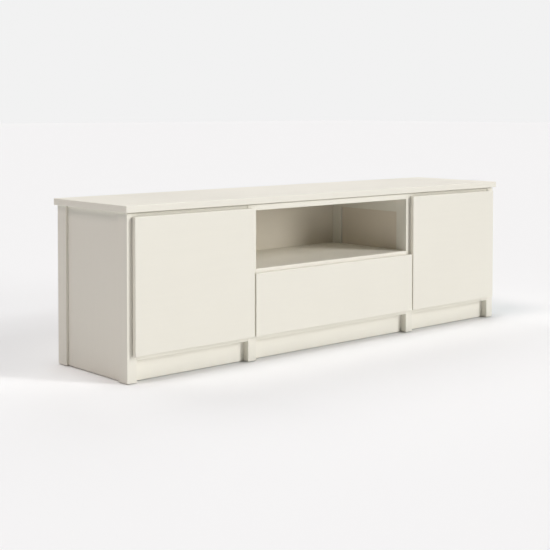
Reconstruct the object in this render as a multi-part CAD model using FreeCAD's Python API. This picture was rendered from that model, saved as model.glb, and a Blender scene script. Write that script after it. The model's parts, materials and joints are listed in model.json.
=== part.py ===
import FreeCAD, Part
import math
import os

from FreeCAD import Vector

# Low media cabinet: two hinged doors outside, an open compartment over one drawer in the middle.
# Millimetres, +Z up, X along the width, front face towards -Y.
# The origin is on the floor, under the middle of the overall box.

# ---- driving dimensions -------------------------------------------------------------------
WIDTH = 1800.0            # over the top slab
HEIGHT = 550.0
SLAB_DEPTH = 420.0
SLAB_THICK = 22.0
SLAB_END_OVERHANG = 9.0
SLAB_FRONT_OVERHANG = 11.0

CARCASS_DEPTH = 400.0
UPRIGHT_THICK = 35.0      # thickness of every side and divider, at its stiles
STILE_DEPTH = 50.0
PANEL_RECESS = 8.5        # how far a panel lies behind the faces of its stiles
DIVIDER_CENTRE = 389.5
BOARD = 22.0              # top, bottom and fixed shelf boards
GLIDE_HEIGHT = 2.5
GLIDE_RADIUS = 11.0

BOTTOM_UNDERSIDE = 72.0
FIXED_SHELF_TOP = 310.0
LOOSE_SHELF_TOP = 306.0
LOOSE_SHELF_THICK = 18.0
LOOSE_SHELF_SETBACK = 22.0
LOOSE_SHELF_END_GAP = 1.0
LOOSE_SHELF_REAR_GAP = 2.0
SHELF_PIN_RADIUS = 2.5
SHELF_PIN_LENGTH = 18.0   # half of it stands in the stile
SHELF_PIN_INSET = 37.0    # from the carcass's front and rear
DOOR_BAY_SETBACK = 2.0    # the top board over a door starts this far behind the stiles
KICK_RECESS = 24.0
KICK_THICK = 16.0
BACK_THICK = 6.0
BACK_SCREW_SPACING = 180.0
BACK_SCREW_INSET = 30.0
BACK_SCREW_LENGTH = 22.0
CLEAT_UNDERSIDE = 455.0

FRONT_THICK = 16.0        # doors and drawer front
FRONT_GAP = 2.0           # between the fronts and the carcass
FRONT_SPACING = 6.0       # between a door and the drawer front
FRONT_BOTTOM = 86.0
DOOR_TOP = 515.0
DRAWER_FRONT_TOP = 297.5
DOOR_OUTER_REVEAL = 18.5  # part of the outer stile that a door leaves bare
BUMPER_RADIUS = 4.0
BUMPER_THICK = 1.7        # a little less than the gap that it fills
BUMPER_INSET = 7.0        # from the inner edge of a door or the end of the drawer front
DOOR_BUMPER_INSET_Z = 18.0
DRAWER_BUMPER_INSET_Z = 12.0

SIDE_BOARD = 12.0         # drawer box boards
BOX_LOW = 108.0
BOX_HIGH = 250.0
BOX_BACK = 385.0          # how far the drawer box reaches behind the carcass front
BOX_BOTTOM_THICK = 4.0
BOX_BOTTOM_RAISE = 10.0
BOX_GROOVE = 6.0
FRONT_SCREW_SPREAD = 260.0
FRONT_SCREW_RAISE = 35.0  # of the lower row, above the box's lower edge
FRONT_SCREW_DROP = 30.0   # of the upper row, below the box's upper edge
FRONT_SCREW_LENGTH = 22.0

SLIDE_LENGTH = 385.0
SLIDE_START = 2.0
SLIDE_SPACE = 12.7
SLIDE_CENTRE_Z = 165.0
SLIDE_SHEET = 1.2
SLIDE_SCREW_INSET = 25.0  # from each end of a slide
SLIDE_SCREW_LENGTH = 15.0
SLIDE_OUTER_HALF = 22.5   # half heights of the three nested channels
SLIDE_MIDDLE_HALF = 19.8
SLIDE_INNER_HALF = 16.5

# Cup hinge, measured from the carcass's outer face and front plane.
CUP_RADIUS = 17.5
CUP_WALL = 0.8
CUP_DEPTH = 11.5
CUP_INSET = 22.0          # from the door's edge to the cup's centre
CUP_EAR_THICK = 1.1
CUP_EAR_WIDTH = 16.0
CUP_EAR_HALF = 30.0       # half the ears' height
CUP_SCREW_SHIFT = 9.5     # from the cup's centre towards the middle of the door
CUP_SCREW_SPREAD = 24.0
CUP_SCREW_LENGTH = 11.0
CUP_PIN_HALF = 10.0
ARM_PIVOT = (52.0, -6.2)
CUP_PIVOT = (27.8, -3.9)
HINGE_PIN_RADIUS = 1.5
PIN_CLEARANCE = 0.05
LINK_EYE_RADIUS = 2.6
LINK_HALF_WEB = 1.5
LINK_HALF_HEIGHT = 4.2
LUG_HALF_WIDTH = 2.2
LUG_GAP = 0.3
LUG_THICK = 2.0
PLATE_THICK = 2.5
PLATE_SCREW_BACK = 37.0   # behind the carcass front
PLATE_SCREW_SPREAD = 19.0
PLATE_SCREW_LENGTH = 14.0
ARM_FRONT = 8.0           # the arm's ends, behind the carcass front
ARM_REAR = 56.0
ARM_THICK = 9.0
CRANK_THICK = 4.0
HINGE_FROM_END = 78.0     # hinge centre from the door's top and bottom edges

# ---- places worked out from them ------------------------------------------------------------
FRONT_PROUD = FRONT_THICK + FRONT_GAP
OVERALL_DEPTH = FRONT_PROUD + SLAB_DEPTH - SLAB_FRONT_OVERHANG
Y_FRONT = FRONT_PROUD - OVERALL_DEPTH / 2     # carcass front plane
Y_REAR = Y_FRONT + CARCASS_DEPTH
Y_BACK_PANEL = Y_REAR - BACK_THICK
X_OUTER = WIDTH / 2 - SLAB_END_OVERHANG
X_SIDE_INNER = X_OUTER - UPRIGHT_THICK
X_DIV_OUTER = DIVIDER_CENTRE + UPRIGHT_THICK / 2
X_DIV_INNER = DIVIDER_CENTRE - UPRIGHT_THICK / 2
Z_SLAB = HEIGHT - SLAB_THICK
Z_TOP_BOARD = Z_SLAB - BOARD
X_DOOR_OUTER = X_OUTER - DOOR_OUTER_REVEAL
X_DOOR_INNER = DIVIDER_CENTRE + FRONT_SPACING / 2
X_DRAWER = DIVIDER_CENTRE - FRONT_SPACING / 2
Y_DOOR_BACK = Y_FRONT - FRONT_GAP
Y_DOOR_FACE = Y_DOOR_BACK - FRONT_THICK
X_BOX = X_DIV_INNER - SLIDE_SPACE
HINGE_HEIGHTS = (FRONT_BOTTOM + HINGE_FROM_END, DOOR_TOP - HINGE_FROM_END)


def block(x0, x1, y0, y1, z0, z1):
    """A rectangular board between two corners."""
    return Part.makeBox(x1 - x0, y1 - y0, z1 - z0, Vector(x0, y0, z0))


def rod(radius, start, axis, length):
    return Part.makeCylinder(radius, length, Vector(*start), Vector(*axis))


def mirrored(shape):
    """The same piece on the other side of the cabinet's middle plane."""
    return shape.mirror(Vector(0, 0, 0), Vector(1, 0, 0))


def group(shapes):
    return Part.makeCompound(shapes)


def save(name, shape):
    shape.exportStep(os.path.join("parts", name + ".step"))


def save_pair(pattern, right_shape):
    """Writes a piece for the right-hand side and its mirror image for the left."""
    save(pattern.format("right"), right_shape)
    save(pattern.format("left"), mirrored(right_shape))


def screw(head_at, into, length, shank_radius=1.7, head_radius=3.6, head_height=1.6):
    """A pan-head screw with a cross recess. head_at is where the head sits on its board."""
    direction = Vector(*into)
    seat = Vector(*head_at)
    shank = Part.makeCylinder(shank_radius, length, seat, direction)
    head = Part.makeCylinder(head_radius, head_height, seat - direction * head_height, direction)
    body = head.fuse(shank)
    slot_depth = head_height * 0.6
    slot_half = head_radius * 0.6
    slot = Part.makeBox(2 * slot_half, 0.8, slot_depth, Vector(-slot_half, -0.4, 0))
    cross = slot.fuse(slot.rotated(Vector(0, 0, 0), Vector(0, 0, 1), 90))
    turn = FreeCAD.Rotation(Vector(0, 0, 1), direction)
    cross.Placement = FreeCAD.Placement(seat - direction * head_height, turn)
    return body.cut(cross)


# ---- uprights -------------------------------------------------------------------------------
def front_stile(x_low):
    return block(x_low, x_low + UPRIGHT_THICK, Y_FRONT, Y_FRONT + STILE_DEPTH, GLIDE_HEIGHT, Z_SLAB)


def rear_stile(x_low):
    return block(x_low, x_low + UPRIGHT_THICK, Y_REAR - STILE_DEPTH, Y_REAR, GLIDE_HEIGHT, Z_SLAB)


def upright_panel(x_low):
    return block(
        x_low + PANEL_RECESS, x_low + UPRIGHT_THICK - PANEL_RECESS,
        Y_FRONT + STILE_DEPTH, Y_REAR - STILE_DEPTH,
        GLIDE_HEIGHT, Z_SLAB,
    )


def cleat(x_low):
    """A fixing strip that fills the recess of a panel, under the top slab."""
    return block(
        x_low, x_low + PANEL_RECESS,
        Y_FRONT + STILE_DEPTH, Y_REAR - STILE_DEPTH,
        CLEAT_UNDERSIDE, Z_TOP_BOARD,
    )


def glides():
    """Nylon glides under both stiles of every upright."""
    pads = []
    for x in (-X_OUTER + UPRIGHT_THICK / 2, -DIVIDER_CENTRE, DIVIDER_CENTRE, X_OUTER - UPRIGHT_THICK / 2):
        for y in (Y_FRONT + STILE_DEPTH / 2, Y_REAR - STILE_DEPTH / 2):
            pads.append(rod(GLIDE_RADIUS, (x, y, 0), (0, 0, 1), GLIDE_HEIGHT))
    return pads


# ---- boards ---------------------------------------------------------------------------------
def bay_board(x0, x1, setback, z_low):
    """A fixed board between two uprights, with ends that fill the recesses of their panels."""
    between_stiles = block(x0, x1, Y_FRONT + setback, Y_BACK_PANEL, z_low, z_low + BOARD)
    between_panels = block(
        x0 - PANEL_RECESS, x1 + PANEL_RECESS,
        Y_FRONT + STILE_DEPTH, Y_REAR - STILE_DEPTH,
        z_low, z_low + BOARD,
    )
    return between_stiles.fuse(between_panels).removeSplitter()


def back_panel(x0, x1):
    return block(x0, x1, Y_BACK_PANEL, Y_REAR, BOTTOM_UNDERSIDE, Z_SLAB)


def back_screws(x0, x1, heights):
    """A row of screws through a back panel into the rear edge of each board."""
    count = max(2, round((x1 - x0) / BACK_SCREW_SPACING))
    step = (x1 - x0 - 2 * BACK_SCREW_INSET) / count
    found = []
    for z in heights:
        for i in range(count + 1):
            x = x0 + BACK_SCREW_INSET + i * step
            found.append(screw((x, Y_REAR, z), (0, -1, 0), BACK_SCREW_LENGTH))
    return found


def kick_board(x0, x1):
    y = Y_FRONT + KICK_RECESS
    return block(x0, x1, y, y + KICK_THICK, GLIDE_HEIGHT, BOTTOM_UNDERSIDE)


def loose_shelf():
    return block(
        X_DIV_OUTER + LOOSE_SHELF_END_GAP, X_SIDE_INNER - LOOSE_SHELF_END_GAP,
        Y_FRONT + LOOSE_SHELF_SETBACK, Y_BACK_PANEL - LOOSE_SHELF_REAR_GAP,
        LOOSE_SHELF_TOP - LOOSE_SHELF_THICK, LOOSE_SHELF_TOP,
    )


def shelf_pins():
    """Steel pins in the stiles, under the corners of the right-hand loose shelf."""
    z = LOOSE_SHELF_TOP - LOOSE_SHELF_THICK - SHELF_PIN_RADIUS
    pins = []
    for y in (Y_FRONT + SHELF_PIN_INSET, Y_REAR - SHELF_PIN_INSET):
        for face in (X_SIDE_INNER, X_DIV_OUTER):
            start = (face - SHELF_PIN_LENGTH / 2, y, z)
            pins.append(rod(SHELF_PIN_RADIUS, start, (1, 0, 0), SHELF_PIN_LENGTH))
    return pins


# ---- hinges ---------------------------------------------------------------------------------
def hinge_x(distance):
    """X on the right-hand side of a point given from the carcass's outer face."""
    return X_OUTER - distance


def cup_centre_x():
    return hinge_x(DOOR_OUTER_REVEAL + CUP_INSET)


def hinge_cup(z):
    """The pressed cup in the door's back, with two ears that take its screws."""
    x = cup_centre_x()
    floor = Y_DOOR_BACK - CUP_DEPTH
    cup = rod(CUP_RADIUS, (x, floor, z), (0, 1, 0), CUP_DEPTH)
    ear_inner = x - CUP_RADIUS
    ears = block(
        ear_inner, ear_inner + CUP_EAR_WIDTH,
        Y_DOOR_BACK, Y_DOOR_BACK + CUP_EAR_THICK,
        z - CUP_EAR_HALF, z + CUP_EAR_HALF,
    )
    hollow_radius = CUP_RADIUS - CUP_WALL
    hollow = rod(hollow_radius, (x, floor + CUP_WALL, z), (0, 1, 0), CUP_DEPTH + 5.0)
    return cup.fuse(ears).cut(hollow)


def cup_screws(z):
    x = cup_centre_x() - CUP_SCREW_SHIFT
    y = Y_DOOR_BACK + CUP_EAR_THICK
    heights = (z - CUP_SCREW_SPREAD, z + CUP_SCREW_SPREAD)
    return [screw((x, y, height), (0, -1, 0), CUP_SCREW_LENGTH) for height in heights]


def cup_pin(z):
    x = hinge_x(CUP_PIVOT[0])
    start = (x, Y_FRONT + CUP_PIVOT[1], z - CUP_PIN_HALF)
    return rod(HINGE_PIN_RADIUS, start, (0, 0, 1), 2 * CUP_PIN_HALF)


def arm_pin(z):
    x = hinge_x(ARM_PIVOT[0])
    half = LINK_HALF_HEIGHT + LUG_GAP + LUG_THICK
    return rod(HINGE_PIN_RADIUS, (x, Y_FRONT + ARM_PIVOT[1], z - half), (0, 0, 1), 2 * half)


def hinge_link(z):
    """The link between the arm's pin and the cup's pin: a web with an eye at each end."""
    ax, ay = hinge_x(ARM_PIVOT[0]), Y_FRONT + ARM_PIVOT[1]
    cx, cy = hinge_x(CUP_PIVOT[0]), Y_FRONT + CUP_PIVOT[1]
    length = math.hypot(cx - ax, cy - ay)
    low = z - LINK_HALF_HEIGHT
    tall = 2 * LINK_HALF_HEIGHT
    web = Part.makeBox(length, 2 * LINK_HALF_WEB, tall, Vector(0, -LINK_HALF_WEB, 0))
    turn = FreeCAD.Rotation(Vector(0, 0, 1), math.degrees(math.atan2(cy - ay, cx - ax)))
    web.Placement = FreeCAD.Placement(Vector(ax, ay, low), turn)
    link = web
    for x, y in ((ax, ay), (cx, cy)):
        link = link.fuse(rod(LINK_EYE_RADIUS, (x, y, low), (0, 0, 1), tall))
    for x, y in ((ax, ay), (cx, cy)):
        link = link.cut(rod(HINGE_PIN_RADIUS + PIN_CLEARANCE, (x, y, low), (0, 0, 1), tall))
    return link


def hinge_plate(z):
    """The cross-shaped mounting plate on the inner face of the front stile."""
    x = X_SIDE_INNER - PLATE_THICK
    foot_front = Y_FRONT + PLATE_SCREW_BACK - 6.0
    foot = block(x, X_SIDE_INNER, foot_front, foot_front + 12.0, z - 26.0, z + 26.0)
    bed = block(x, X_SIDE_INNER, Y_FRONT + 16.0, Y_FRONT + 49.0, z - 8.0, z + 8.0)
    return foot.fuse(bed)


def plate_screws(z):
    x = X_SIDE_INNER - PLATE_THICK
    y = Y_FRONT + PLATE_SCREW_BACK
    heights = (z - PLATE_SCREW_SPREAD, z + PLATE_SCREW_SPREAD)
    return [screw((x, y, height), (1, 0, 0), PLATE_SCREW_LENGTH) for height in heights]


def hinge_arm(z):
    """The arm on its plate: a body, a crank across to the pivot, and two lugs round the link."""
    x_plate = X_SIDE_INNER - PLATE_THICK
    x_pivot = hinge_x(ARM_PIVOT[0])
    y_pivot = Y_FRONT + ARM_PIVOT[1]
    half = LINK_HALF_HEIGHT + LUG_GAP + LUG_THICK
    y_front = Y_FRONT + ARM_FRONT
    body = block(x_plate - ARM_THICK, x_plate, y_front, Y_FRONT + ARM_REAR, z - half, z + half)
    slot = block(x_plate - ARM_THICK, x_plate - 5.0, y_front + 10.0, y_front + 42.0, z - 3.0, z + 3.0)
    crank = block(x_pivot - LUG_HALF_WIDTH, x_plate, y_front, y_front + CRANK_THICK, z - half, z + half)
    arm = body.fuse(crank).cut(slot)
    for low in (z - half, z + half - LUG_THICK):
        lug = block(
            x_pivot - LUG_HALF_WIDTH, x_pivot + LUG_HALF_WIDTH,
            y_pivot, y_front,
            low, low + LUG_THICK,
        )
        arm = arm.fuse(lug).fuse(rod(LUG_HALF_WIDTH, (x_pivot, y_pivot, low), (0, 0, 1), LUG_THICK))
    return arm.cut(arm_pin(z))


# ---- doors ----------------------------------------------------------------------------------
def door_board():
    board = block(X_DOOR_INNER, X_DOOR_OUTER, Y_DOOR_FACE, Y_DOOR_BACK, FRONT_BOTTOM, DOOR_TOP)
    for z in HINGE_HEIGHTS:
        board = board.cut(rod(CUP_RADIUS, (cup_centre_x(), Y_DOOR_BACK - CUP_DEPTH, z), (0, 1, 0), CUP_DEPTH))
        board = board.cut(group(cup_screws(z)))
    return board


def door_bumpers():
    """Soft bumpers that keep the closed door off the divider's stile."""
    x = X_DOOR_INNER + BUMPER_INSET
    heights = (FRONT_BOTTOM + DOOR_BUMPER_INSET_Z, DOOR_TOP - DOOR_BUMPER_INSET_Z)
    return [rod(BUMPER_RADIUS, (x, Y_DOOR_BACK, z), (0, 1, 0), BUMPER_THICK) for z in heights]


# ---- drawer ---------------------------------------------------------------------------------
def box_bottom():
    y0 = Y_DOOR_BACK + SIDE_BOARD - BOX_GROOVE
    y1 = Y_FRONT + BOX_BACK - SIDE_BOARD + BOX_GROOVE
    x = X_BOX - SIDE_BOARD + BOX_GROOVE
    z = BOX_LOW + BOX_BOTTOM_RAISE
    return block(-x, x, y0, y1, z, z + BOX_BOTTOM_THICK)


def box_side():
    board = block(X_BOX - SIDE_BOARD, X_BOX, Y_DOOR_BACK, Y_FRONT + BOX_BACK, BOX_LOW, BOX_HIGH)
    return board.cut(box_bottom())


def box_end(y_low, z_high):
    x = X_BOX - SIDE_BOARD
    return block(-x, x, y_low, y_low + SIDE_BOARD, BOX_LOW, z_high).cut(box_bottom())


def drawer_front_screws():
    """Screws from inside the drawer through the box front into the applied front."""
    found = []
    for x in (-FRONT_SCREW_SPREAD, 0.0, FRONT_SCREW_SPREAD):
        for z in (BOX_LOW + FRONT_SCREW_RAISE, BOX_HIGH - FRONT_SCREW_DROP):
            seat = (x, Y_DOOR_BACK + SIDE_BOARD, z)
            found.append(screw(seat, (0, -1, 0), FRONT_SCREW_LENGTH))
    return found


def drawer_bumpers():
    pads = []
    for x in (-X_DRAWER + BUMPER_INSET, X_DRAWER - BUMPER_INSET):
        for z in (FRONT_BOTTOM + DRAWER_BUMPER_INSET_Z, DRAWER_FRONT_TOP - DRAWER_BUMPER_INSET_Z):
            pads.append(rod(BUMPER_RADIUS, (x, Y_DOOR_BACK, z), (0, 1, 0), BUMPER_THICK))
    return pads


def channel(x_web, x_lip, half_height):
    """A sheet-metal channel: its web is at x_web and its flanges reach to x_lip."""
    towards = 1.0 if x_lip > x_web else -1.0
    x_web_inner = x_web + towards * SLIDE_SHEET
    y0 = Y_FRONT + SLIDE_START
    y1 = y0 + SLIDE_LENGTH
    z = SLIDE_CENTRE_Z
    web = block(min(x_web, x_web_inner), max(x_web, x_web_inner), y0, y1, z - half_height, z + half_height)
    shape = web
    for low in (z - half_height, z + half_height - SLIDE_SHEET):
        shape = shape.fuse(block(min(x_web, x_lip), max(x_web, x_lip), y0, y1, low, low + SLIDE_SHEET))
    return shape.removeSplitter()


def slide_outer():
    return channel(X_DIV_INNER, X_DIV_INNER - 9.5, SLIDE_OUTER_HALF)


def slide_middle():
    return channel(X_DIV_INNER - 3.6, X_DIV_INNER - 8.8, SLIDE_MIDDLE_HALF)


def slide_inner():
    return channel(X_BOX, X_BOX + 6.7, SLIDE_INNER_HALF)


def slide_screws():
    """Flat screws that hold the outer members to both stiles."""
    x = X_DIV_INNER - SLIDE_SHEET
    y_low = Y_FRONT + SLIDE_START + SLIDE_SCREW_INSET
    y_high = Y_FRONT + SLIDE_START + SLIDE_LENGTH - SLIDE_SCREW_INSET
    found = []
    for y in (y_low, y_high):
        seat = (x, y, SLIDE_CENTRE_Z)
        found.append(screw(seat, (1, 0, 0), SLIDE_SCREW_LENGTH, head_height=1.0))
    return found


# ---- assembly -------------------------------------------------------------------------------
def build_uprights():
    places = {
        "right_side": X_SIDE_INNER,
        "right_divider": X_DIV_INNER,
    }
    fasteners = shelf_pins() + slide_screws()
    for z in HINGE_HEIGHTS:
        fasteners += plate_screws(z)
    fasteners = group(fasteners)
    for name, x_low in places.items():
        save_pair(name.replace("right", "{}") + "_front_stile", front_stile(x_low).cut(fasteners))
        save_pair(name.replace("right", "{}") + "_rear_stile", rear_stile(x_low).cut(fasteners))
        save_pair(name.replace("right", "{}") + "_panel", upright_panel(x_low))
    faces = (X_SIDE_INNER, X_DIV_INNER, X_DIV_INNER + UPRIGHT_THICK - PANEL_RECESS)
    strips = [cleat(x) for x in faces]
    save("fixing_cleats", group(strips + [mirrored(s) for s in strips]))
    save("floor_glides", group(glides()))


def build_boards():
    slab = block(
        -WIDTH / 2, WIDTH / 2,
        Y_FRONT - SLAB_FRONT_OVERHANG, Y_FRONT - SLAB_FRONT_OVERHANG + SLAB_DEPTH,
        Z_SLAB, HEIGHT,
    )
    save("top_slab", slab)
    board_heights = (BOTTOM_UNDERSIDE + BOARD / 2, Z_TOP_BOARD + BOARD / 2)
    door_bay = (X_DIV_OUTER, X_SIDE_INNER)
    middle_bay = (-X_DIV_INNER, X_DIV_INNER)
    door_screws = back_screws(*door_bay, board_heights)
    shelf_height = FIXED_SHELF_TOP - BOARD / 2
    middle_screws = back_screws(*middle_bay, board_heights + (shelf_height,))
    door_holes = group(door_screws)
    middle_holes = group(middle_screws)

    top = bay_board(*door_bay, DOOR_BAY_SETBACK, Z_TOP_BOARD)
    bottom = bay_board(*door_bay, 0, BOTTOM_UNDERSIDE)
    save_pair("{}_top_board", top.cut(door_holes))
    save_pair("{}_bottom_board", bottom.cut(door_holes))
    save_pair("{}_back_panel", back_panel(*door_bay).cut(door_holes))
    save_pair("{}_kick_board", kick_board(*door_bay))
    save_pair("{}_loose_shelf", loose_shelf())

    save("middle_top_board", bay_board(*middle_bay, 0, Z_TOP_BOARD).cut(middle_holes))
    save("middle_bottom_board", bay_board(*middle_bay, 0, BOTTOM_UNDERSIDE).cut(middle_holes))
    shelf = bay_board(*middle_bay, 0, FIXED_SHELF_TOP - BOARD)
    save("fixed_shelf", shelf.cut(middle_holes))
    save("middle_back_panel", back_panel(*middle_bay).cut(middle_holes))
    save("middle_kick_board", kick_board(*middle_bay))

    pins = shelf_pins()
    save("shelf_pins", group(pins + [mirrored(p) for p in pins]))
    save("back_screws", group(door_screws + [mirrored(s) for s in door_screws] + middle_screws))


def build_doors():
    save_pair("{}_door", door_board())
    save_pair("{}_door_bumpers", group(door_bumpers()))
    cups = []
    for z in HINGE_HEIGHTS:
        cups.append(hinge_cup(z).cut(group([cup_pin(z)] + cup_screws(z))))
    screws = []
    plates = []
    arms = []
    arm_pins = []
    plate_fixings = []
    for z in HINGE_HEIGHTS:
        screws += cup_screws(z)
        plates.append(hinge_plate(z).cut(group(plate_screws(z))))
        arms.append(hinge_arm(z))
        arm_pins.append(arm_pin(z))
        plate_fixings += plate_screws(z)
    save_pair("{}_hinge_cups", group(cups))
    save_pair("{}_hinge_cup_screws", group(screws))
    save_pair("{}_hinge_cup_pins", group([cup_pin(z) for z in HINGE_HEIGHTS]))
    save_pair("{}_hinge_links", group([hinge_link(z) for z in HINGE_HEIGHTS]))
    for name, pieces in (
        ("hinge_plates", plates),
        ("hinge_arms", arms),
        ("hinge_arm_pins", arm_pins),
        ("hinge_plate_screws", plate_fixings),
    ):
        save(name, group(pieces + [mirrored(p) for p in pieces]))


def build_drawer():
    front_screws = drawer_front_screws()
    holes = group(front_screws)
    front = block(-X_DRAWER, X_DRAWER, Y_DOOR_FACE, Y_DOOR_BACK, FRONT_BOTTOM, DRAWER_FRONT_TOP)
    save("drawer_front", front.cut(holes))
    save("drawer_box_front", box_end(Y_DOOR_BACK, BOX_HIGH).cut(holes))
    save("drawer_box_back", box_end(Y_FRONT + BOX_BACK - SIDE_BOARD, BOX_HIGH))
    save_pair("drawer_{}_side", box_side())
    save("drawer_bottom", box_bottom())
    save("drawer_front_screws", group(front_screws))
    save("drawer_bumpers", group(drawer_bumpers()))
    outer = slide_outer().cut(group(slide_screws()))
    save("slide_outer_members", group([outer, mirrored(outer)]))
    save("slide_middle_members", group([slide_middle(), mirrored(slide_middle())]))
    save("slide_inner_members", group([slide_inner(), mirrored(slide_inner())]))
    save("slide_screws", group(slide_screws() + [mirrored(s) for s in slide_screws()]))


os.makedirs("parts", exist_ok=True)
build_uprights()
build_boards()
build_doors()
build_drawer()
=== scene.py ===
import json
import math

import bmesh
import bpy
from mathutils import Matrix, Vector

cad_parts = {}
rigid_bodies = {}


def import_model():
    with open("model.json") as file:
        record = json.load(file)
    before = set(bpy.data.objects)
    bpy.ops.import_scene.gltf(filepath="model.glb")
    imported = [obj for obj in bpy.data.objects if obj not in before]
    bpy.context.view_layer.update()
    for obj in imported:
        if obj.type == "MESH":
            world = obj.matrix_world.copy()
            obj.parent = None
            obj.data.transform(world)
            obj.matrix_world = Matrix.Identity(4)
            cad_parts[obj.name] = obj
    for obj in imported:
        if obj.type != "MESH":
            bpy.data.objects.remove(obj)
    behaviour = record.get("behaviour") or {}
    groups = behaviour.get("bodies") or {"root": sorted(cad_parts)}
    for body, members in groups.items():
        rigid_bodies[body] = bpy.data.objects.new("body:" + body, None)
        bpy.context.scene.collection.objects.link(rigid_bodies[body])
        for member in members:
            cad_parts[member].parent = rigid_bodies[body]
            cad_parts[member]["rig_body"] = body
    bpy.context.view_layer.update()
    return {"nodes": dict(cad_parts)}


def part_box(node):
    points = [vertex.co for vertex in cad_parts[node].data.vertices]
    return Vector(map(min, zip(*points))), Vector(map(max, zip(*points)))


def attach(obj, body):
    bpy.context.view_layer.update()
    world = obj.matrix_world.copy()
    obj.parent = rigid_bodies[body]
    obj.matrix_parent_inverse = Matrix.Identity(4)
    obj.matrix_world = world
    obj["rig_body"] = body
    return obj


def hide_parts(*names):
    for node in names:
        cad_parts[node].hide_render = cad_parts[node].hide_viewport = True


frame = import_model()

# ---- camera, in metres and degrees ----------------------------------------------------------
CAMERA_PLACE = (-2.9095, -3.1474, 0.8438)
CAMERA_TURN = (88.0, 0.0, -41.61)
CAMERA_LENS = 76.57
CAMERA_SHIFT_Y = -0.2275

# ---- light ------------------------------------------------------------------------------------
# Each sun: where it comes from (degrees round from the front towards the right, then up), how wide
# it is, its power and its tint.
SUNS = {
    "key": (34.0, 27.0, 7.0, 0.62, (1.01, 1.0, 1.0)),
    "key_soft": (35.0, 36.0, 16.0, 0.50, (1.01, 1.0, 1.0)),
    "front_low": (28.0, 12.0, 22.0, 0.93, (1.01, 1.0, 0.97)),
    "left_high": (-90.0, 60.0, 25.0, 0.98, (1.13, 1.0, 0.96)),
    "overhead": (0.0, 90.0, 20.0, 0.98, (0.94, 1.0, 1.02)),
    "behind": (180.0, 45.0, 30.0, 0.60, (1.03, 1.0, 0.96)),
    "behind_right": (135.0, 35.0, 30.0, 0.42, (1.0, 1.0, 1.02)),
}
AMBIENT = (0.01, 0.01, 0.01)
BACKDROP = (0.887, 0.887, 0.887)
FLOOR_COLOUR = (0.850, 0.858, 0.868)
FLOOR_HALF = 60.0

# ---- finishes, some with painted light or painted shade, linear colours -------------------------
LACQUER = (0.823, 0.800, 0.716)
# The back panels' lacquer, darkened and warmed: painted shade for the inside of the cupboards.
BACK_PANEL_PAINTED_SHADE = (0.795, 0.737, 0.630)
# The divider panels' lacquer, darkened and warmed: painted shade for the inside of the cupboards.
DIVIDER_PAINTED_SHADE = (0.765, 0.695, 0.588)
# The fixed shelf's lacquer, lightened: painted light that the lamps don't bring into the open cupboard.
SHELF_PAINTED_LIGHT = (0.945, 0.915, 0.830)
# The kick boards' lacquer, lightened: painted light against part of the shade that falls on them near the
# floor.
KICK_PAINTED_LIGHT = (0.855, 0.832, 0.748)
FOIL = (0.80, 0.775, 0.70)
ZINC = (0.66, 0.67, 0.68)
NICKEL = (0.72, 0.69, 0.65)
NYLON = (0.045, 0.042, 0.04)
MILKY = (0.78, 0.78, 0.75)

# ---- roundings of edges, in metres -----------------------------------------------------------------
SLAB_EDGE = 0.0016
FRONT_EDGE = 0.0014
BOARD_EDGE = 0.0008
THIN_EDGE = 0.0005
EDGE_STEPS = 3

SHARP = 1e-5              # a rounding too small to see, for cutters and hidden edges
HARDWARE_EDGE = 0.0004
FINE_HARDWARE_EDGE = 0.0003
GLIDE_EDGE = 0.0005
CREASE = math.radians(35.0)
SEAM = 1e-6               # vertices closer than this are one

# ---- lines left open at the joints, in metres -------------------------------------------------------
PANEL_JOINT = 0.0013
PANEL_JOINT_DEPTH = 0.0032
SLAB_JOINT = 0.0032
SLAB_JOINT_DEPTH = 0.006

# ---- holes, in metres ---------------------------------------------------------------------------------
PIN_HOLE_RADIUS = 0.0025
PIN_HOLE_DEPTH = 0.009
PIN_HOLE_STEP = 0.032
PIN_HOLE_ROWS = range(-3, 4)
PIN_HOLE_SIDES = 20
CUP_HOLE_SIDES = 64
SPARE = 0.002             # how far a cutter stands past the face that it opens
CUP_SPARE = 0.003
FACE_REACH = 0.001        # a pin this near to a face stands in it

# ---- sizes of the finishes' detail ----------------------------------------------------------------------
# Noise scales are waves per metre; depths and widths are metres.
STREAK_ACROSS = 34.0
STREAK_ALONG = 1.6
STREAK_SCALE = 3.0
CLOUD_SCALE = 3.2
FLECK_SCALE = 520.0
PEEL_SCALE = 900.0
PEEL_DEPTH = 0.00002
# Patches and width of the lacquer's rubbed edges, which are rougher from wear and lightened as a painted
# highlight.
RUB_AND_HIGHLIGHT_SCALE = 46.0
RUB_AND_HIGHLIGHT_WIDTH = 0.0045
WEAVE_SCALE = 95.0
WEAVE_STRETCH = 14.0
WEAVE_DEPTH = 0.00006
FOIL_CLOUD_SCALE = 4.0
FOIL_RUBBED_WIDTH = 0.003
GRAIN_SCALE = 700.0
GRAIN_DEPTH = 0.000015
BLOTCH_SCALE = 60.0
SPARK_SCALE = 1500.0
SPARK_DEPTH = 0.00003
DUST_SCALE = 90.0
SHIFT = (1.7, 0.9, 2.3)   # how far a board's pattern moves for each step of its seed
PLATED_SEED = 0.3
MOULDED_SEED = 0.7


# ---- node helpers -----------------------------------------------------------------------------------
def new_material(name):
    material = bpy.data.materials.new(name)
    material.use_nodes = True
    tree = material.node_tree
    shader = tree.nodes["Principled BSDF"]
    return material, tree, shader


def node(tree, kind, **settings):
    made = tree.nodes.new(kind)
    for key, value in settings.items():
        setattr(made, key, value)
    return made


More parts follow.
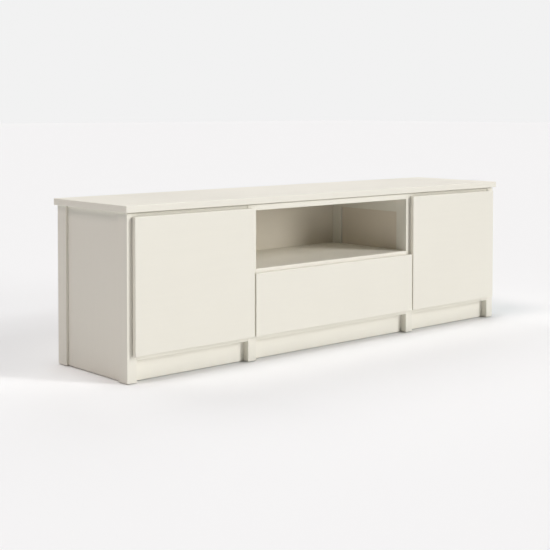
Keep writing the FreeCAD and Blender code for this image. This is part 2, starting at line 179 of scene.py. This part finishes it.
def math_node(tree, operation, first, second=None, third=None):
    made = node(tree, "ShaderNodeMath", operation=operation)
    for socket, value in zip(made.inputs, (first, second, third)):
        if value is None:
            continue
        if isinstance(value, bpy.types.NodeSocket):
            tree.links.new(value, socket)
        else:
            socket.default_value = value
    return made.outputs[0]


def vector_node(tree, operation, first, second):
    made = node(tree, "ShaderNodeVectorMath", operation=operation)
    for socket, value in zip(made.inputs, (first, second)):
        if isinstance(value, bpy.types.NodeSocket):
            tree.links.new(value, socket)
        else:
            socket.default_value = value
    return made.outputs[0]


def noise(tree, place, scale, detail=2.0, roughness=0.5):
    made = node(tree, "ShaderNodeTexNoise")
    made.inputs["Scale"].default_value = scale
    made.inputs["Detail"].default_value = detail
    made.inputs["Roughness"].default_value = roughness
    tree.links.new(place, made.inputs["Vector"])
    return made.outputs["Fac"]


def remap(tree, value, low, high, to_low, to_high):
    made = node(tree, "ShaderNodeMapRange")
    made.interpolation_type = "SMOOTHSTEP"
    made.inputs["From Min"].default_value = low
    made.inputs["From Max"].default_value = high
    made.inputs["To Min"].default_value = to_low
    made.inputs["To Max"].default_value = to_high
    tree.links.new(value, made.inputs["Value"])
    return made.outputs["Result"]


def tinted(tree, colour, amount):
    """colour times a number that stays near one."""
    made = node(tree, "ShaderNodeVectorMath", operation="SCALE")
    made.inputs[0].default_value = colour
    tree.links.new(amount, made.inputs["Scale"])
    return made.outputs[0]


def object_place(tree):
    """The point on the piece, in metres."""
    return node(tree, "ShaderNodeTexCoord").outputs["Object"]


def pattern_place(tree, source, seed):
    """The point moved by seed, so that no two boards share a pattern."""
    return vector_node(tree, "ADD", source, tuple(step * seed for step in SHIFT))


def edge_mask(tree, place, low, high, width):
    """One at the long edges of a box from low to high, falling to zero a width away."""
    from_low = vector_node(tree, "SUBTRACT", place, tuple(low))
    subtract = node(tree, "ShaderNodeVectorMath", operation="SUBTRACT")
    subtract.inputs[0].default_value = tuple(high)
    tree.links.new(place, subtract.inputs[1])
    nearest = vector_node(tree, "MINIMUM", from_low, subtract.outputs[0])
    parts = node(tree, "ShaderNodeSeparateXYZ")
    tree.links.new(nearest, parts.inputs[0])
    x, y, z = parts.outputs
    small = math_node(tree, "MINIMUM", x, y)
    large = math_node(tree, "MAXIMUM", x, y)
    second = math_node(tree, "MAXIMUM", small, math_node(tree, "MINIMUM", large, z))
    return remap(tree, second, 0.0, width, 1.0, 0.0)


def bump(tree, shader, height, distance):
    made = node(tree, "ShaderNodeBump")
    made.inputs["Distance"].default_value = distance
    made.inputs["Strength"].default_value = 1.0
    tree.links.new(height, made.inputs["Height"])
    tree.links.new(made.outputs[0], shader.inputs["Normal"])


# ---- materials --------------------------------------------------------------------------------------
def lacquer(name, seed, low, high, colour=LACQUER, roughness=0.47):
    """Sprayed satin lacquer on board: faint drawn streaks, orange peel, softly rubbed edges that are
    rougher from wear and a little lighter as a painted highlight.
    """
    material, tree, shader = new_material(name)
    source = object_place(tree)
    place = pattern_place(tree, source, seed)
    size = high - low
    along = max(range(3), key=lambda i: size[i])
    stretch = [STREAK_ACROSS] * 3
    stretch[along] = STREAK_ALONG
    drawn = vector_node(tree, "MULTIPLY", place, tuple(stretch))
    streaks = noise(tree, drawn, STREAK_SCALE, 4.0, 0.6)
    clouds = noise(tree, place, CLOUD_SCALE, 3.0)
    flecks = noise(tree, place, FLECK_SCALE, 2.0)
    peel = noise(tree, place, PEEL_SCALE, 1.0)
    edges = edge_mask(tree, source, low, high, RUB_AND_HIGHLIGHT_WIDTH)
    patches = remap(tree, noise(tree, place, RUB_AND_HIGHLIGHT_SCALE, 3.0), 0.35, 0.65, 0.25, 1.0)
    rubbed_and_highlit = math_node(tree, "MULTIPLY", edges, patches)
    tone = math_node(tree, "ADD", remap(tree, clouds, 0.3, 0.7, -0.006, 0.006), 1.0)
    tone = math_node(tree, "ADD", tone, remap(tree, streaks, 0.3, 0.7, -0.004, 0.004))
    tone = math_node(tree, "ADD", tone, remap(tree, flecks, 0.3, 0.7, -0.006, 0.006))
    # The rubbed edges are made a little lighter: a painted highlight where edges catch the light.
    tone = math_node(tree, "MULTIPLY_ADD", rubbed_and_highlit, 0.018, tone)
    tree.links.new(tinted(tree, colour, tone), shader.inputs["Base Color"])
    rough = math_node(tree, "ADD", remap(tree, clouds, 0.3, 0.7, -0.03, 0.03), roughness)
    # The rubbed edges are rougher: wear.
    rough = math_node(tree, "MULTIPLY_ADD", rubbed_and_highlit, 0.10, rough)
    tree.links.new(rough, shader.inputs["Roughness"])
    bump(tree, shader, peel, PEEL_DEPTH)
    return material


def foil_board(name, seed, low, high):
    """Pale linen-embossed foil on the drawer box."""
    material, tree, shader = new_material(name)
    source = object_place(tree)
    place = pattern_place(tree, source, seed)
    upright_threads = vector_node(tree, "MULTIPLY", place, (1.0, 1.0, WEAVE_STRETCH))
    level_threads = vector_node(tree, "MULTIPLY", place, (WEAVE_STRETCH, WEAVE_STRETCH, 1.0))
    weave = math_node(
        tree, "ADD",
        noise(tree, upright_threads, WEAVE_SCALE, 2.0), noise(tree, level_threads, WEAVE_SCALE, 2.0),
    )
    clouds = noise(tree, place, FOIL_CLOUD_SCALE, 3.0)
    edges = edge_mask(tree, source, low, high, FOIL_RUBBED_WIDTH)
    tone = math_node(tree, "ADD", remap(tree, weave, 0.7, 1.3, -0.02, 0.02), 1.0)
    tone = math_node(tree, "ADD", tone, remap(tree, clouds, 0.3, 0.7, -0.01, 0.01))
    tone = math_node(tree, "MULTIPLY_ADD", edges, -0.03, tone)
    tree.links.new(tinted(tree, FOIL, tone), shader.inputs["Base Color"])
    tree.links.new(remap(tree, weave, 0.7, 1.3, 0.5, 0.6), shader.inputs["Roughness"])
    bump(tree, shader, weave, WEAVE_DEPTH)
    return material


def plated(name, colour, roughness, drawn=(1.0, 1.0, 1.0)):
    """Plated steel with a drawn grain and a little blotchy dulling."""
    material, tree, shader = new_material(name)
    place = pattern_place(tree, object_place(tree), PLATED_SEED)
    grain = noise(tree, vector_node(tree, "MULTIPLY", place, drawn), GRAIN_SCALE, 3.0)
    blotch = noise(tree, place, BLOTCH_SCALE, 3.0)
    tone = math_node(tree, "ADD", remap(tree, blotch, 0.3, 0.7, -0.06, 0.04), 1.0)
    tree.links.new(tinted(tree, colour, tone), shader.inputs["Base Color"])
    rough = math_node(tree, "ADD", remap(tree, grain, 0.3, 0.7, -0.05, 0.07), roughness)
    rough = math_node(tree, "ADD", rough, remap(tree, blotch, 0.4, 0.7, 0.0, 0.08))
    tree.links.new(rough, shader.inputs["Roughness"])
    shader.inputs["Metallic"].default_value = 1.0
    bump(tree, shader, grain, GRAIN_DEPTH)
    return material


def moulded(name, colour, roughness, clear=0.0):
    """Injection-moulded plastic with a fine spark-eroded texture."""
    material, tree, shader = new_material(name)
    place = pattern_place(tree, object_place(tree), MOULDED_SEED)
    spark = noise(tree, place, SPARK_SCALE, 2.0)
    dust = noise(tree, place, DUST_SCALE, 4.0)
    tone = math_node(tree, "ADD", remap(tree, dust, 0.35, 0.7, -0.05, 0.09), 1.0)
    tree.links.new(tinted(tree, colour, tone), shader.inputs["Base Color"])
    rough = remap(tree, spark, 0.3, 0.7, roughness - 0.05, roughness + 0.06)
    tree.links.new(rough, shader.inputs["Roughness"])
    shader.inputs["Transmission Weight"].default_value = clear
    bump(tree, shader, spark, SPARK_DEPTH)
    return material


# ---- mesh helpers -------------------------------------------------------------------------------------
def mesh_object(name, mesh_data):
    made = bpy.data.objects.new(name, mesh_data)
    bpy.context.scene.collection.objects.link(made)
    return made


def finish_mesh(work, name):
    """Smooth shading with hard creases kept, then a plain mesh object."""
    work.normal_update()
    for edge in work.edges:
        if len(edge.link_faces) == 2 and edge.calc_face_angle(0.0) > CREASE:
            edge.smooth = False
    for face in work.faces:
        face.smooth = True
    data = bpy.data.meshes.new(name)
    work.to_mesh(data)
    work.free()
    made = mesh_object(name, data)
    weighted = made.modifiers.new("crisp flats", "WEIGHTED_NORMAL")
    weighted.keep_sharp = True
    weighted.weight = 100
    return made


def extruded(outline, low_z, high_z, edge):
    """A board cut to an outline in plan, with all its edges rounded."""
    work = bmesh.new()
    ring = [work.verts.new((x, y, low_z)) for x, y in outline]
    base = work.faces.new(ring)
    raised = bmesh.ops.extrude_face_region(work, geom=[base])
    lifted = [item for item in raised["geom"] if isinstance(item, bmesh.types.BMVert)]
    bmesh.ops.translate(work, vec=(0, 0, high_z - low_z), verts=lifted)
    bmesh.ops.recalc_face_normals(work, faces=work.faces)
    bmesh.ops.bevel(
        work, geom=list(work.edges), offset=edge, offset_type="OFFSET",
        segments=EDGE_STEPS, profile=0.5, affect="EDGES", clamp_overlap=True,
    )
    return work


def cylinder(centre, axis, radius, length, steps=40):
    """A closed cylinder that starts at centre and runs along axis."""
    work = bmesh.new()
    bmesh.ops.create_cone(
        work, cap_ends=True, segments=steps, radius1=radius, radius2=radius, depth=length,
    )
    turn = Vector((0, 0, 1)).rotation_difference(Vector(axis)).to_matrix().to_4x4()
    place = Matrix.Translation(Vector(centre) + Vector(axis) * length / 2)
    bmesh.ops.transform(work, matrix=place @ turn, verts=work.verts)
    return work


def joined(pieces):
    """Several closed bmeshes as one."""
    work = bmesh.new()
    for piece in pieces:
        data = bpy.data.meshes.new("cutter_part")
        piece.to_mesh(data)
        piece.free()
        work.from_mesh(data)
        bpy.data.meshes.remove(data)
    return work


def cut(work, cutters):
    """work less the cutters, by an exact boolean."""
    if not cutters:
        return work
    made = []
    for name, source in (("board", work), ("cutter", joined(cutters))):
        data = bpy.data.meshes.new(name)
        source.to_mesh(data)
        source.free()
        made.append(mesh_object(name, data))
    board, cutter = made
    boolean = board.modifiers.new("cut", "BOOLEAN")
    boolean.operation = "DIFFERENCE"
    boolean.solver = "EXACT"
    boolean.object = cutter
    bpy.context.view_layer.update()
    result = bmesh.new()
    evaluated = board.evaluated_get(bpy.context.evaluated_depsgraph_get())
    result.from_mesh(evaluated.to_mesh())
    for item in made:
        data = item.data
        bpy.data.objects.remove(item)
        bpy.data.meshes.remove(data)
    return result


# ---- pieces that stand for the boards -----------------------------------------------------------------
seeds = {}


def next_seed():
    seeds["last"] = seeds.get("last", 0.0) + 1.0
    return seeds["last"]


def rectangle(low, high):
    return [(low.x, low.y), (high.x, low.y), (high.x, high.y), (low.x, high.y)]


def place_piece(piece, node_name, material):
    piece.data.materials.append(material)
    body = frame["nodes"][node_name]["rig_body"]
    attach(piece, body)
    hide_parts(node_name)


def painted_board(node_name, edge, slot_name, cutters=(), outline=None, make=lacquer, **finish):
    """A rounded, painted board in the place of a CAD board."""
    low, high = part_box(node_name)
    work = extruded(outline or rectangle(low, high), low.z, high.z, edge)
    work = cut(work, list(cutters))
    piece = finish_mesh(work, node_name + "_board")
    material = make(node_name + "_finish", next_seed(), low, high, **finish)
    place_piece(piece, node_name, material)
    return piece


def notched_outline(node_name, left_stile, right_stile):
    """The plan of a bay board, whose ends step out behind the front stiles into the panels' recesses."""
    low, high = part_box(node_name)
    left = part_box(left_stile)[1].x
    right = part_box(right_stile)[0].x
    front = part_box(left_stile)[1].y
    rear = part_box(left_stile.replace("front", "rear"))[0].y
    return [
        (left, low.y), (right, low.y), (right, front), (high.x, front),
        (high.x, rear), (right, rear), (right, high.y), (left, high.y),
        (left, rear), (low.x, rear), (low.x, front), (left, front),
    ]


def panel_outline(node_name):
    """The plan of an upright's panel, with a fine open line down each side where it meets a stile."""
    low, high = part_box(node_name)
    inner_low, inner_high = low.x + PANEL_JOINT_DEPTH, high.x - PANEL_JOINT_DEPTH
    front, rear = low.y + PANEL_JOINT, high.y - PANEL_JOINT
    return [
        (inner_low, low.y), (inner_high, low.y), (inner_high, front), (high.x, front),
        (high.x, rear), (inner_high, rear), (inner_high, high.y), (inner_low, high.y),
        (inner_low, rear), (low.x, rear), (low.x, front), (inner_low, front),
    ]


def slab_joint(node_name):
    """The cutter for the shadow line along the top of a board's front edge, under the slab."""
    low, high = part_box(node_name)
    near = Vector((low.x - SPARE, low.y - SPARE, 0))
    far = Vector((high.x + SPARE, low.y + SLAB_JOINT_DEPTH, 0))
    return extruded(rectangle(near, far), high.z - SLAB_JOINT, high.z + SPARE, SHARP)


def solid_boxes(node_name):
    """The box of each separate solid in a CAD node."""
    work = bmesh.new()
    work.from_mesh(frame["nodes"][node_name].data)
    bmesh.ops.remove_doubles(work, verts=work.verts, dist=SEAM)
    seen = set()
    found = []
    for start in work.verts:
        if start in seen:
            continue
        stack = [start]
        members = []
        seen.add(start)
        while stack:
            vert = stack.pop()
            members.append(vert.co.copy())
            for edge in vert.link_edges:
                other = edge.other_vert(vert)
                if other not in seen:
                    seen.add(other)
                    stack.append(other)
        low = Vector([min(p[i] for p in members) for i in range(3)])
        high = Vector([max(p[i] for p in members) for i in range(3)])
        found.append((low, high))
    work.free()
    return found


UPRIGHTS = ("left_side", "left_divider", "right_divider", "right_side")
BAYS = {
    "left": ("left_side_front_stile", "left_divider_front_stile"),
    "middle": ("left_divider_front_stile", "right_divider_front_stile"),
    "right": ("right_divider_front_stile", "right_side_front_stile"),
}


def pin_holes(stile, pins):
    """Rows of shelf-pin holes in a stile's faces towards the cupboards, in step with the shelf's pins."""
    low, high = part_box(stile)
    holes = []
    for pin_low, pin_high in pins:
        middle = (pin_low + pin_high) / 2
        if not low.y < middle.y < high.y:
            continue
        for face, inward in ((low.x, 1.0), (high.x, -1.0)):
            if abs(middle.x - face) > FACE_REACH:
                continue
            for row in PIN_HOLE_ROWS:
                centre = (face - inward * SPARE, middle.y, middle.z + row * PIN_HOLE_STEP)
                length = PIN_HOLE_DEPTH + SPARE
                holes.append(cylinder(centre, (inward, 0, 0), PIN_HOLE_RADIUS, length, PIN_HOLE_SIDES))
    return holes


def build_uprights():
    pins = solid_boxes("shelf_pins")
    for upright in UPRIGHTS:
        for part in ("front_stile", "rear_stile"):
            name = f"{upright}_{part}"
            cutters = pin_holes(name, pins)
            if part == "front_stile":
                cutters.append(slab_joint(name))
            painted_board(name, BOARD_EDGE, "carcass_lacquer", cutters)
        name = f"{upright}_panel"
        # Divider panels take the lacquer darkened with painted shade.
        colour = DIVIDER_PAINTED_SHADE if "divider" in upright else LACQUER
        painted_board(name, THIN_EDGE, "carcass_lacquer", outline=panel_outline(name), colour=colour)


def build_bays():
    painted_board("top_slab", SLAB_EDGE, "top_lacquer")
    for bay, stiles in BAYS.items():
        name = f"{bay}_top_board"
        outline = notched_outline(name, *stiles)
        painted_board(name, BOARD_EDGE, "carcass_lacquer", [slab_joint(name)], outline)
        name = f"{bay}_bottom_board"
        outline = notched_outline(name, *stiles)
        painted_board(name, BOARD_EDGE, "carcass_lacquer", outline=outline)
        name = f"{bay}_kick_board"
        # Kick boards take the lacquer lightened with painted light.
        painted_board(name, BOARD_EDGE, "carcass_lacquer", colour=KICK_PAINTED_LIGHT)
        # The back panels take the lacquer darkened with painted shade.
        painted_board(f"{bay}_back_panel", THIN_EDGE, "back_board", colour=BACK_PANEL_PAINTED_SHADE)
    outline = notched_outline("fixed_shelf", *BAYS["middle"])
    # The fixed shelf takes the lacquer lightened with painted light.
    painted_board("fixed_shelf", BOARD_EDGE, "carcass_lacquer", outline=outline, colour=SHELF_PAINTED_LIGHT)
    for side in ("left", "right"):
        painted_board(f"{side}_loose_shelf", BOARD_EDGE, "carcass_lacquer")


def cup_holes(side):
    """The round pockets that take the hinge cups."""
    door_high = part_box(f"{side}_door")[1]
    holes = []
    for low, high in solid_boxes(f"{side}_hinge_cups"):
        # the cup's round part is the box's width across; its ears lie on the door's back
        radius = (high.x - low.x) / 2
        centre_x = (low.x + high.x) / 2
        centre_z = (low.z + high.z) / 2
        mouth = (centre_x, door_high.y + CUP_SPARE, centre_z)
        length = door_high.y - low.y + CUP_SPARE
        holes.append(cylinder(mouth, (0, -1, 0), radius, length, CUP_HOLE_SIDES))
    return holes


def build_fronts():
    for side in ("left", "right"):
        painted_board(f"{side}_door", FRONT_EDGE, "front_lacquer", cup_holes(side))
    painted_board("drawer_front", FRONT_EDGE, "front_lacquer")


def build_drawer_box():
    low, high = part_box("drawer_bottom")
    for name in ("drawer_left_side", "drawer_right_side", "drawer_box_front", "drawer_box_back"):
        groove = extruded(rectangle(low, high), low.z, high.z, SHARP)
        painted_board(name, BOARD_EDGE, "drawer_board", [groove], make=foil_board)
    painted_board("drawer_bottom", SHARP, "drawer_board", make=foil_board)


# ---- finishes on the CAD nodes that stay --------------------------------------------------------------
def dress(node_name, material, edge=0.0):
    """Gives a CAD node its material, welds its seams and rounds its edges without touching its mesh."""
    target = frame["nodes"][node_name]
    target.data.materials.clear()
    target.data.materials.append(material)
    weld = target.modifiers.new("weld", "WELD")
    weld.merge_threshold = SEAM
    if edge:
        rounding = target.modifiers.new("edges", "BEVEL")
        rounding.width = edge
        rounding.segments = 2
        rounding.limit_method = "ANGLE"
        rounding.angle_limit = CREASE
        rounding.use_clamp_overlap = True


SLIDES = ("slide_outer_members", "slide_middle_members", "slide_inner_members")
HINGE_PARTS = ("hinge_plates", "hinge_arms", "left_hinge_links", "right_hinge_links")
FIXINGS = (
    "hinge_arm_pins", "hinge_plate_screws", "slide_screws", "back_screws", "drawer_front_screws",
    "shelf_pins",
)


def dress_hardware():
    zinc = plated("zinc_plate", ZINC, 0.34, (1.0, 0.06, 1.0))
    pressed = plated("pressed_steel", NICKEL, 0.24)
    fixings = plated("fixings", ZINC, 0.30)
    nylon = moulded("glide_nylon", NYLON, 0.5)
    milky = moulded("bumper", MILKY, 0.35, clear=0.35)
    for name in SLIDES:
        dress(name, zinc, FINE_HARDWARE_EDGE)
    for name in HINGE_PARTS:
        dress(name, pressed, HARDWARE_EDGE)
    for side in ("left", "right"):
        dress(f"{side}_hinge_cups", pressed, FINE_HARDWARE_EDGE)
        dress(f"{side}_hinge_cup_pins", fixings)
        dress(f"{side}_hinge_cup_screws", fixings)
        dress(f"{side}_door_bumpers", milky, HARDWARE_EDGE)
    for name in FIXINGS:
        dress(name, fixings)
    dress("drawer_bumpers", milky, HARDWARE_EDGE)
    dress("floor_glides", nylon, GLIDE_EDGE)
    finish = lacquer("cleat_finish", next_seed(), *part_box("fixing_cleats"))
    dress("fixing_cleats", finish, BOARD_EDGE)


# ---- stage ------------------------------------------------------------------------------------------
def build_floor():
    data = bpy.data.meshes.new("floor")
    half = FLOOR_HALF
    corners = [(-half, -half, 0), (half, -half, 0), (half, half, 0), (-half, half, 0)]
    data.from_pydata(corners, [], [(0, 1, 2, 3)])
    floor = mesh_object("floor", data)
    material, tree, shader = new_material("floor_paper")
    shader.inputs["Base Color"].default_value = (*FLOOR_COLOUR, 1.0)
    shader.inputs["Roughness"].default_value = 1.0
    shader.inputs["Specular IOR Level"].default_value = 0.0
    floor.data.materials.append(material)


def build_world():
    """Even soft light, with a pale backdrop where the camera looks past the floor."""
    world = bpy.data.worlds.new("studio")
    bpy.context.scene.world = world
    world.use_nodes = True
    tree = world.node_tree
    tree.nodes.clear()
    light = node(tree, "ShaderNodeBackground")
    light.inputs["Color"].default_value = (*AMBIENT, 1.0)
    backdrop = node(tree, "ShaderNodeBackground")
    backdrop.inputs["Color"].default_value = (*BACKDROP, 1.0)
    path = node(tree, "ShaderNodeLightPath")
    mix = node(tree, "ShaderNodeMixShader")
    output = node(tree, "ShaderNodeOutputWorld")
    tree.links.new(path.outputs["Is Camera Ray"], mix.inputs["Fac"])
    tree.links.new(light.outputs[0], mix.inputs[1])
    tree.links.new(backdrop.outputs[0], mix.inputs[2])
    tree.links.new(mix.outputs[0], output.inputs["Surface"])


def add_sun(name, round_right, up, spread, power, tint):
    light = bpy.data.lights.new(name, "SUN")
    light.energy = power
    light.angle = math.radians(spread)
    light.color = tint
    lamp = bpy.data.objects.new(name, light)
    flat = math.cos(math.radians(up))
    source = Vector((
        flat * math.sin(math.radians(round_right)),
        -flat * math.cos(math.radians(round_right)),
        math.sin(math.radians(up)),
    ))
    lamp.rotation_euler = source.to_track_quat("Z", "Y").to_euler()
    bpy.context.scene.collection.objects.link(lamp)


def build_stage():
    build_floor()
    build_world()
    for name, settings in SUNS.items():
        add_sun(name, *settings)


def build_camera():
    data = bpy.data.cameras.new("camera")
    data.lens = CAMERA_LENS
    data.shift_y = CAMERA_SHIFT_Y
    data.clip_end = 200.0
    camera = bpy.data.objects.new("camera", data)
    camera.location = CAMERA_PLACE
    camera.rotation_euler = [math.radians(a) for a in CAMERA_TURN]
    bpy.context.scene.collection.objects.link(camera)
    bpy.context.scene.camera = camera


bpy.context.scene.view_settings.view_transform = "Standard"
build_camera()
build_stage()
build_uprights()
build_bays()
build_fronts()
build_drawer_box()
dress_hardware()
